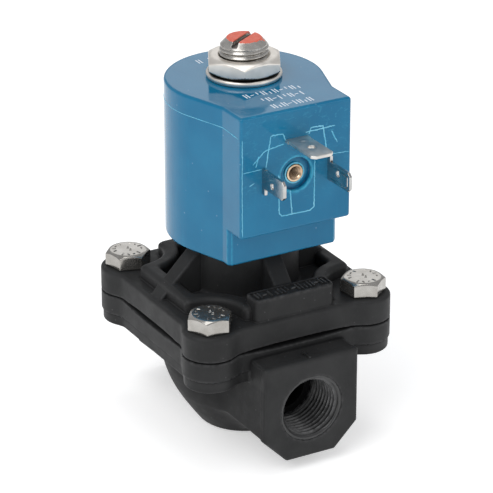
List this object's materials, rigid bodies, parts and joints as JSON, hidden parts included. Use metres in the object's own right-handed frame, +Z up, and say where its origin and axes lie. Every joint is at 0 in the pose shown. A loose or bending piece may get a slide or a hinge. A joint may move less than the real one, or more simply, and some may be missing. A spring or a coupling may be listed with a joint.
{
  "type": "solenoid valve",
  "caption": "Diaphragm solenoid valve: ribbed black body with ports in line, bolted bonnet, blue coil with flat terminals, clamped on a threaded tube by a nut.",
  "frame": {"origin": "centre of the flat foot under the body's bowl, on the valve's vertical axis", "axes": "+Z up along the core tube; +X out of the inlet port, on the side of the coil's terminals"},
  "size_m": [0.0718, 0.057, 0.1018],
  "materials": {
    "black_plastic": "satin moulded glass-filled plastic",
    "blue_plastic": "glossy blue encapsulation",
    "tinned_metal": "bright tinned",
    "brass": "machined",
    "stainless_steel": "bright, cold-formed",
    "magnetic_steel": "ground",
    "nickel_plate": "polished nickel plate",
    "rubber": "matte",
    "copper": "enamelled copper wire",
    "bobbin_plastic": "natural nylon"
  },
  "bodies": {
    "valve": {"valve_body": "black_plastic", "bonnet": "black_plastic", "bonnet_bolt_front_left": "stainless_steel", "bonnet_bolt_front_right": "stainless_steel", "bonnet_bolt_back_left": "stainless_steel", "bonnet_bolt_back_right": "stainless_steel", "threaded_insert_front_left": "brass", "threaded_insert_front_right": "brass", "threaded_insert_back_left": "brass", "threaded_insert_back_right": "brass", "diaphragm": "rubber", "diaphragm_spring": "stainless_steel", "pilot_seat": "stainless_steel", "core_tube": "stainless_steel", "tube_o_ring": "rubber", "tube_retaining_ring": "brass", "fixed_core": "stainless_steel", "shading_ring": "copper", "plunger_spring": "stainless_steel", "coil_washer": "nickel_plate", "coil_nut": "nickel_plate"},
    "plunger": {"plunger": "magnetic_steel", "plunger_seal": "rubber"},
    "diaphragm_core": {"valve_disc": "brass", "seat_seal": "rubber", "diaphragm_plate": "stainless_steel", "diaphragm_nut": "brass"},
    "coil": {"coil_housing": "blue_plastic", "blade_left": "tinned_metal", "blade_right": "tinned_metal", "earth_blade": "tinned_metal", "terminal_screw_insert": "brass", "bobbin": "bobbin_plastic", "winding": "copper", "lead_left": "copper", "lead_right": "copper", "yoke_frame": "magnetic_steel"}
  },
  "joints": [
    {"name": "plunger_lift", "type": "slide", "parent": "valve", "child": "plunger", "axis": [0, 0, 1], "range_m": [0, 0.002], "stiffness_N_per_m": 150, "springref_m": -0.008, "deforming": ["plunger_spring"]},
    {"name": "diaphragm_lift", "type": "slide", "parent": "valve", "child": "diaphragm_core", "axis": [0, 0, 1], "range_m": [0, 0.0035], "stiffness_N_per_m": 300, "springref_m": -0.004, "deforming": ["diaphragm_spring", "diaphragm"]},
    {"name": "coil_swivel", "type": "hinge", "parent": "valve", "child": "coil", "pos_m": [0, 0, 0.0716], "axis": [0, 0, 1], "continuous": true}
  ],
  "couplings": [
    {"joint": "diaphragm_lift", "follows": "plunger_lift", "ratio": 1.75}
  ]
}
